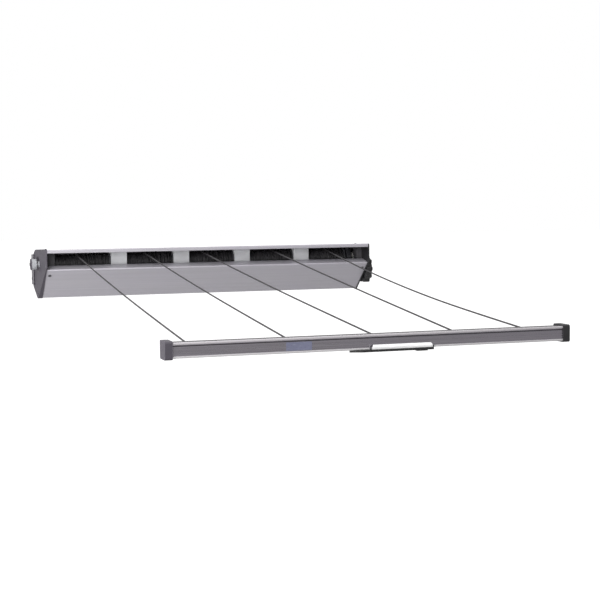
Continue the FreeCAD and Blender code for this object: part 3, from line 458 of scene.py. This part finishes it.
def make_floor():
    """A grey floor that lights the object from below and reads white to the camera."""
    mesh = bpy.data.meshes.new("floor")
    corners = [(-1, -1), (1, -1), (1, 1), (-1, 1)]
    points = [(x * FLOOR_REACH, y * FLOOR_REACH, FLOOR_Z) for x, y in corners]
    mesh.from_pydata(points, [], [(0, 1, 2, 3)])
    floor = new_object("floor", mesh)
    s = Shader("floor", (FLOOR_GREY, FLOOR_GREY, FLOOR_GREY), 0.9)
    s.surface.inputs["Emission Color"].default_value = (1, 1, 1, 1)
    seen = s.add("ShaderNodeLightPath").outputs["Is Camera Ray"]
    glow = s.add("ShaderNodeMath", {1: FLOOR_GLOW}, operation="MULTIPLY")
    s.link(seen, glow.inputs[0])
    s.link(glow.outputs["Value"], s.surface.inputs["Emission Strength"])
    floor.data.materials.append(s.material)


def make_world():
    """White to the eye; as light, bright above and to the left, dim behind the viewer."""
    world = bpy.data.worlds.new("studio")
    SCENE.world = world
    world.use_nodes = True
    tree = world.node_tree
    tree.nodes.clear()
    place = add_node(tree, "ShaderNodeTexCoord")
    tilt = add_node(tree, "ShaderNodeVectorMath", {1: BRIGHT_SIDE}, operation="DOT_PRODUCT")
    fall = add_node(tree, "ShaderNodeMapRange", SKY, interpolation_type="SMOOTHSTEP")
    light = add_node(tree, "ShaderNodeBackground", {"Color": (1, 0.99, 1, 1)})
    seen = add_node(tree, "ShaderNodeBackground", {"Color": (1, 1, 1, 1)})
    path = add_node(tree, "ShaderNodeLightPath")
    mix = add_node(tree, "ShaderNodeMixShader")
    out = add_node(tree, "ShaderNodeOutputWorld")
    link = tree.links.new
    link(place.outputs["Generated"], tilt.inputs[0])
    link(tilt.outputs["Value"], fall.inputs["Value"])
    link(fall.outputs["Result"], light.inputs["Strength"])
    link(path.outputs["Is Camera Ray"], mix.inputs["Fac"])
    link(light.outputs["Background"], mix.inputs[1])
    link(seen.outputs["Background"], mix.inputs[2])
    link(mix.outputs["Shader"], out.inputs["Surface"])


def make_lamps():
    for name, place, target, side, power in LAMPS:
        data = bpy.data.lights.new(name, "AREA")
        data.shape = "RECTANGLE"
        data.size = data.size_y = side
        data.energy = power
        lamp = bpy.data.objects.new(name, data)
        lamp.location = place
        lamp.rotation_euler = (Vector(target) - Vector(place)).to_track_quat("-Z", "Y").to_euler()
        lamp.visible_camera = False
        SCENE.collection.objects.link(lamp)


# ---- materials ------------------------------------------------------------

# The front bar's face behind its bead; its bands of painted highlight and painted shade, measured down from
# the top or, for the lip, up from the bottom; and how far behind the face the bead ends and the top starts.
BAR_FACE = 1.6 * MM
BEAD_HEIGHT = 6.7 * MM
BRIGHT_HEIGHT = 4.6 * MM
GROOVE_HEIGHT = 2 * MM
LIP_HEIGHT = 4.4 * MM
TOP_HEIGHT = 0.5 * MM
BEAD_DEPTH = 1.5 * MM
TOP_DEPTH = 2 * MM
BAND_SOFTNESS = 0.3 * MM


def satin_lines(s, roughness, tint):
    """Colour of satin anodised metal: die lines along X, clouds, brighter worn edges."""
    die_lines = s.noise(420, (0.004, 1, 1), detail=4, rough=0.65)
    clouds = s.noise(7, (0.6, 1, 1), detail=2)
    lined = s.mixed(s.ranged(die_lines, 0, 1), s.shaded(0.86), s.shaded(1.1))
    tinted = s.mixed(s.ranged(clouds, 0, 0.5, 0.35, 0.65), lined, tint)
    s.roughness(s.ranged(die_lines, roughness - 0.06, roughness + 0.08))
    s.bump(die_lines, 0.02 * MM)
    return s.mixed(s.ranged(s.edge_mask(0.5 * MM), 0, 0.6, 0, 1), tinted, s.shaded(1.45))


def casing_aluminium():
    """The cabinet's extrusions: light, satin anodised."""
    roughness = 0.4
    s = Shader("casing_aluminium", (0.4, 0.388, 0.418), roughness, metallic=0.45)
    s.paint(satin_lines(s, roughness, (0.375, 0.36, 0.405)))
    return s.material


def bar_aluminium():
    """The front bar: a darker copy of the casing's satin aluminium, as painted shade, with
    painted highlights on its bead and lower lip, and painted shade in the groove under the bead and on top."""
    roughness = 0.27
    # Base colour and cloud tint darker than the casing's aluminium: painted shade on the same finish.
    s = Shader("bar_aluminium", (0.33, 0.312, 0.34), roughness)
    s.surface.inputs["Specular IOR Level"].default_value = 0.04
    anodised = satin_lines(s, roughness, (0.31, 0.288, 0.33))
    low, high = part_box("bar_extrusion")
    face = low.y + BAR_FACE
    axes = s.add("ShaderNodeSeparateXYZ")
    s.link(s.place, axes.inputs["Vector"])
    height, depth = axes.outputs["Z"], axes.outputs["Y"]

    def above(value, limit):
        return s.ranged(value, 0, 1, limit - BAND_SOFTNESS, limit + BAND_SOFTNESS)

    def below(value, limit):
        return s.ranged(value, 1, 0, limit - BAND_SOFTNESS, limit + BAND_SOFTNESS)

    # Painted highlights: a band along the top of the bead and one along the lower lip are painted brighter
    # and less metallic.
    bead = s.times(above(height, high.z - BRIGHT_HEIGHT), below(depth, face + BEAD_DEPTH))
    lip = below(height, low.z + LIP_HEIGHT)
    # Painted shade: a dark band in the groove under the bead.
    groove = s.times(above(height, high.z - BEAD_HEIGHT - GROOVE_HEIGHT),
                     below(height, high.z - BEAD_HEIGHT))
    # Painted shade: the bar's top surface is painted much darker and is not metallic.
    top = s.times(above(height, high.z - TOP_HEIGHT), above(depth, face + TOP_DEPTH))
    color = s.mixed(bead, anodised, (0.4, 0.385, 0.4))
    color = s.mixed(lip, color, (0.45, 0.44, 0.45))
    color = s.mixed(groove, color, s.shaded(0.3))
    s.paint(s.mixed(top, color, s.shaded(0.12)))
    satin = s.times(s.ranged(bead, 0.9, 0.35, 0, 1), s.ranged(lip, 1, 0.4, 0, 1))
    s.link(s.times(satin, s.ranged(top, 1, 0, 0, 1)), s.surface.inputs["Metallic"])
    return s.material


def moulded(name, color, roughness, grain=0.05, wear_and_highlight=0.5, edge=0.6):
    """Injection moulded plastic: spark eroded grain, flow mottling, and edges painted lighter over a width
    of edge millimetres, partly as edges worn smooth and partly as a painted highlight."""
    s = Shader(name, color, roughness)
    grains = s.noise(1400, detail=2, rough=0.6)
    flow = s.noise(22, (1, 1, 2.2))
    mottled = s.mixed(s.ranged(flow, 0, 1), s.shaded(0.88), s.shaded(1.12))
    speckled = s.mixed(s.ranged(grains, 0, 0.35), mottled, s.shaded(0.7))
    # Edges painted lighter: partly worn plastic, partly a painted highlight.
    s.paint(s.mixed(s.ranged(s.edge_mask(edge * MM), 0, wear_and_highlight, 0, 1), speckled, s.shaded(1.9)))
    s.roughness(s.ranged(flow, roughness - 0.07, roughness + 0.07))
    s.bump(grains, grain * MM)
    return s.material


def painted(name, color, roughness):
    """Powder coat: fine orange peel, and a few bright chips along the edges."""
    s = Shader(name, color, roughness)
    peel = s.noise(650, detail=2)
    chips = s.noise(240, rough=0.7)
    shade = s.mixed(s.ranged(peel, 0, 1), s.shaded(0.9), s.shaded(1.1))
    chipped = s.times(s.edge_mask(0.8 * MM), s.ranged(chips, 0, 0.8, 0.58, 0.66))
    s.paint(s.mixed(chipped, shade, (0.4, 0.4, 0.41)))
    s.roughness(s.ranged(chips, roughness - 0.08, roughness + 0.1))
    s.bump(peel, 0.06 * MM)
    return s.material


def turned_metal(name, color, roughness, stretch=(1, 0.03, 0.03), metallic=1.0):
    """Drawn or turned metal: fine tool lines, from noise stretched along them, and stains."""
    s = Shader(name, color, roughness, metallic)
    tool = s.noise(1600, stretch)
    stain = s.noise(35)
    shade = s.mixed(s.ranged(tool, 0, 1), s.shaded(0.8), s.shaded(1.08))
    s.paint(s.mixed(s.ranged(stain, 0, 0.4, 0.45, 0.75), shade, s.shaded(0.6)))
    s.roughness(s.ranged(stain, roughness - 0.05, roughness + 0.12))
    s.bump(tool, 0.015 * MM)
    return s.material


def sheathed_cord(name, color):
    """Soft line: a braid showing through its sheath, dusty and a little worn."""
    s = Shader(name, color, 0.62)
    weave = s.noise(900, (1, 0.55, 1), detail=2)
    dust = s.noise(60, detail=4, rough=0.6)
    shade = s.mixed(s.ranged(weave, 0, 1), s.shaded(0.65), s.shaded(1.35))
    s.paint(s.mixed(s.ranged(dust, 0, 0.3, 0.5, 0.75), shade, (0.05, 0.047, 0.049)))
    s.roughness(s.ranged(weave, 0.5, 0.72))
    s.bump(weave, 0.15 * MM)
    return s.material


def film(name, color):
    """A blank label: clear film over a pale field, scuffed."""
    s = Shader(name, color, 0.32)
    s.surface.inputs["Coat Weight"].default_value = 0.4
    fade = s.noise(30, (1, 1, 1.5), detail=2)
    scuff = s.noise(500, (0.3, 1, 1))
    shade = s.mixed(s.ranged(fade, 0, 1), s.shaded(0.93), s.shaded(1.07))
    s.paint(s.mixed(s.ranged(scuff, 0, 0.12, 0.55, 0.75), shade, (0.5, 0.51, 0.53)))
    s.roughness(s.ranged(scuff, 0.26, 0.42))
    s.bump(scuff, 0.01 * MM)
    return s.material


def make_materials():
    """A finish for each slot, and "bar" for the front bar's extrusion."""
    grip_lines = (0.02, 1, 1)
    return {
        "aluminium": casing_aluminium(),
        # The front bar's finish is the casing's aluminium darkened as painted shade.
        "bar": bar_aluminium(),
        "tube_metal": painted("tube_enamel", (0.03, 0.03, 0.033), 0.45),
        # The grey caps' wide lightened edges stand for the highlight along their rounded edges: painted
        # highlight.
        "cap_grey": moulded("cap_grey", (0.044, 0.039, 0.05), 0.5, wear_and_highlight=0.9, edge=1.8),
        "cap_black": moulded("cap_black", (0.011, 0.0105, 0.012), 0.5),
        "bracket_paint": painted("bracket_paint", (0.11, 0.105, 0.115), 0.5),
        "fastener_dark": painted("fastener_dark", (0.05, 0.05, 0.055), 0.4),
        "fastener_bright": turned_metal("fastener_bright", (0.55, 0.55, 0.57), 0.3),
        "block_plastic": moulded("block_plastic", (0.055, 0.053, 0.058), 0.55),
        "bush_plastic": moulded("bush_plastic", (0.7, 0.69, 0.65), 0.4),
        "guide_plastic": moulded("guide_plastic", (0.54, 0.545, 0.56), 0.45, grain=0.03, wear_and_highlight=0.7),
        "hub_plastic": moulded("hub_plastic", (0.05, 0.05, 0.055), 0.5),
        "gear_nylon": moulded("gear_nylon", (0.035, 0.035, 0.04), 0.42),
        "line_cord": sheathed_cord("line_cord", (0.0125, 0.0112, 0.0132)),
        "spring_steel": turned_metal("spring_steel", (0.42, 0.42, 0.44), 0.3),
        "knob_light": moulded("knob_light", (0.27, 0.277, 0.29), 0.4, grain=0.03),
        "wheel_black": moulded("wheel_black", (0.008, 0.0078, 0.0085), 0.45),
        "ferrule_black": moulded("ferrule_black", (0.045, 0.045, 0.05), 0.35),
        "label_film": film("label_film", (0.107, 0.112, 0.165)),
        "grip_steel": turned_metal("grip_steel", (0.77, 0.768, 0.775), 0.34, grip_lines, metallic=0.4),
    }


# ---- rounded pieces -------------------------------------------------------

# How far each piece's sharp edges are rounded, in millimetres.
ROUNDED = {
    "left_end_cap": 1.0, "right_end_cap": 1.0,
    "wall_bracket_left": 0.6, "wall_bracket_right": 0.6,
    "line_guide_1": 1.2, "line_guide_2": 1.2, "line_guide_3": 1.2, "line_guide_4": 1.2,
    "left_bearing_block": 1.0, "right_bearing_block": 1.0, "spool_flanges": 0.6,
    "bar_cap_left": 1.6, "bar_cap_right": 1.6, "handle_base": 0.8, "line_ferrules": 0.6,
    "cap_screws": 0.25, "bracket_screws": 0.25, "panel_screws": 0.25, "bar_cap_screws": 0.2,
    "hand_wheel_screw": 0.4, "knob_screw": 0.3, "adjuster_collar": 0.6, "hand_wheel": 1.6,
    "blank_label": 0.1,
}
ROUND_STEPS = 3
SHARP = math.radians(32)
SAME_PLACE = 0.001 * MM
SAME_PLANE = math.radians(0.6)
# The left cap's outer edge round its nose, below NOSE_TOP, is rounded more.
CAP_FACE = 3.5 * MM
NOSE_ROUND = 5 * MM
NOSE_STEPS = 6
NOSE_TOP = -5 * MM


def round_over(bm, width, steps, chosen=lambda edge: True):
    """Rounds the chosen ones of the sharp edges."""
    sharp = [e for e in bm.edges if e.is_manifold and e.calc_face_angle() > SHARP]
    bmesh.ops.bevel(bm, geom=[e for e in sharp if chosen(e)], offset=width, offset_type="OFFSET",
                    segments=steps, profile=0.5, affect="EDGES", clamp_overlap=True,
                    loop_slide=True)


def rounded(node, width):
    """The CAD node's shape with its sharp edges rounded over."""
    bm = bmesh.new()
    bm.from_mesh(NODES[node].data)
    bmesh.ops.remove_doubles(bm, verts=bm.verts, dist=SAME_PLACE)
    bmesh.ops.dissolve_limit(bm, angle_limit=SAME_PLANE, verts=bm.verts, edges=bm.edges)
    if node == "left_end_cap":
        face_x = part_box("left_bearing_block")[0].x - CAP_FACE

        def in_nose(edge):
            return all(v.co.x < face_x and v.co.z < NOSE_TOP for v in edge.verts)

        round_over(bm, NOSE_ROUND, NOSE_STEPS, in_nose)
    round_over(bm, width, ROUND_STEPS)
    return weighted(object_from_bmesh(node + "_rounded", bm))


def make_pieces(materials):
    for node, width in ROUNDED.items():
        stands_for(rounded(node, width * MM), node, materials)


# ---- grip -----------------------------------------------------------------

KNUCKLE = 2.6 * MM
KNUCKLE_START = 20
KNUCKLE_END = -185
KNUCKLE_STEPS = 18
GRIP_SHEET = 1.1 * MM
GRIP_LEAN = 4.2 * MM
GRIP_CROWN = 0.9 * MM
BLADE_STEPS = 9
LEAN_CURVE = 1.3
SLANT = 5 * MM
SLANT_CURVE = 1.2
CORNER = 4 * MM
CORNER_START = 0.35
CORNER_SPREAD = 0.45
GRIP_COLUMNS = 40
GRIP_CREASE = 50


def arc_points(centre, radius, start, end, steps):
    """Points of an arc in a plane, angles in degrees."""
    points = []
    for step in range(steps + 1):
        angle = math.radians(start + (end - start) * step / steps)
        points.append((centre[0] + radius * math.cos(angle), centre[1] + radius * math.sin(angle)))
    return points


def make_grip(materials):
    """Polished lever: a rolled knuckle round the pin and a crowned blade that leans back
    to the bar, cut on a slant at its left end and rounded at its right end."""
    low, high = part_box("grip_handle")
    pin_y, _ = middle_of("handle_pin")
    pin_z = low.z + KNUCKLE
    rise = high.z - pin_z
    section = arc_points((pin_y, pin_z), KNUCKLE, KNUCKLE_START, KNUCKLE_END, KNUCKLE_STEPS)
    for step in range(1, BLADE_STEPS + 1):
        share = step / BLADE_STEPS
        crown = GRIP_CROWN * math.sin(math.pi * share)
        lean = GRIP_LEAN * share ** LEAN_CURVE
        section.append((pin_y - KNUCKLE + lean - crown, pin_z + rise * share))
    outer = [Vector((0, y, z)) for y, z in section]
    inner = []
    for i, spot in enumerate(outer):
        run = (outer[min(i + 1, len(outer) - 1)] - outer[max(i - 1, 0)]).normalized()
        inner.append(spot + Vector((0, -run.z, run.y)) * -GRIP_SHEET)
    outline = outer + inner[::-1]
    bm = bmesh.new()
    rings = []
    for column in range(GRIP_COLUMNS + 1):
        share = 0.5 - 0.5 * math.cos(math.pi * column / GRIP_COLUMNS)
        ring = []
        for spot in outline:
            up = max((spot.z - pin_z) / rise, 0)
            left = low.x + SLANT * up ** SLANT_CURVE
            turn = max(up - CORNER_START, 0) ** 2 / CORNER_SPREAD
            right = high.x - CORNER * (1 - math.sqrt(max(1 - turn, 0)))
            ring.append(bm.verts.new((left + (right - left) * share, spot.y, spot.z)))
        rings.append(ring)
    count = len(outline)
    for one, other in zip(rings, rings[1:]):
        for k in range(count):
            bm.faces.new((one[k], one[(k + 1) % count], other[(k + 1) % count], other[k]))
    bm.faces.new(rings[0])
    bm.faces.new(rings[-1][::-1])
    stands_for(object_from_bmesh("grip_lever", bm, GRIP_CREASE), "grip_handle", materials)


# ---- adjuster -------------------------------------------------------------

FLUTES = 24
TURNED_SIDES = 288
RIM_STEPS = 6
KNOB_RIM = 1.6 * MM
KNOB_BORE = 6 * MM
KNOB_FLUTE_DEPTH = 0.55 * MM
DIAL_RIM = 0.9 * MM
DIAL_BORE = 2 * MM
DIAL_HUB = 5.4 * MM
DIAL_DISH = 0.2 * MM
DIAL_DOME = 0.1 * MM
DIAL_FLUTE_DEPTH = 0.8 * MM


def turned(name, profile, centre, flute_depth):
    """A closed shape turned round an axis along X from (x, radius, fluting) points; fluting
    is the share of the flutes' depth at that point."""
    verts, faces = [], []
    for x, radius, fluting in profile:
        for k in range(TURNED_SIDES):
            angle = 2 * math.pi * k / TURNED_SIDES
            wave = 0.5 - 0.5 * math.cos(FLUTES * angle)
            reach = radius - flute_depth * fluting * wave ** 3
            verts.append((x, centre[0] + reach * math.cos(angle), centre[1] + reach * math.sin(angle)))
    rings = len(profile)
    for i in range(rings):
        this, following = i * TURNED_SIDES, (i + 1) % rings * TURNED_SIDES
        for k in range(TURNED_SIDES):
            after = (k + 1) % TURNED_SIDES
            faces.append((this + k, this + after, following + after, following + k))
    return object_from(name, verts, faces)


def rim(x, radius, turn_x, turn_radius, start, end):
    """A rounded, fluted rim of a turned profile: part of an ellipse between two angles."""
    points = []
    for step in range(RIM_STEPS + 1):
        angle = math.radians(start + (end - start) * step / RIM_STEPS)
        points.append((x + turn_x * math.cos(angle), radius + turn_radius * math.sin(angle), 1))
    return points


def make_adjuster(materials):
    """Fluted knob with soft rims, and the notched, domed dial on its outer end."""
    low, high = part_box("adjuster_knob")
    radius = (high.z - low.z) / 2
    soft = KNOB_RIM
    profile = [(low.x, KNOB_BORE, 0), (low.x, radius - 3 * soft, 0)]
    profile += rim(low.x + soft, radius - soft, soft, soft, 180, 90)
    profile += rim(high.x - 2 * soft, radius - 2 * soft, 2 * soft, 2 * soft, 90, 0)
    profile += [(high.x, KNOB_BORE, 0)]
    knob = turned("knob_turned", profile, middle_of("adjuster_knob"), KNOB_FLUTE_DEPTH)
    stands_for(knob, "adjuster_knob", materials)

    low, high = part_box("adjuster_dial")
    radius = (high.z - low.z) / 2
    edge = DIAL_RIM
    profile = [(low.x + DIAL_DISH, DIAL_BORE, 0), (low.x, DIAL_HUB, 0),
               (low.x + DIAL_DOME, 0.5 * radius, 0)]
    profile += rim(low.x + 2.2 * edge, radius - 3 * edge, 2 * edge, 3 * edge, 150, 90)
    profile += rim(high.x - edge / 2, radius - edge / 2, edge / 2, edge / 2, 90, 0)
    profile += [(high.x, DIAL_BORE, 0)]
    dial = turned("dial_turned", profile, middle_of("adjuster_dial"), DIAL_FLUTE_DEPTH)
    stands_for(dial, "adjuster_dial", materials)


# ---- the whole scene ------------------------------------------------------

def dress_nodes(materials):
    """Gives every CAD node its finish."""
    for node, obj in NODES.items():
        name = "bar" if node == "bar_extrusion" else SLOT_OF[node]
        obj.data.materials.clear()
        obj.data.materials.append(materials[name])


make_camera()
MATERIALS = make_materials()
make_lines(MATERIALS["line_cord"])
make_windings(MATERIALS)
make_pieces(MATERIALS)
make_grip(MATERIALS)
make_adjuster(MATERIALS)
dress_nodes(MATERIALS)
make_floor()
make_world()
make_lamps()
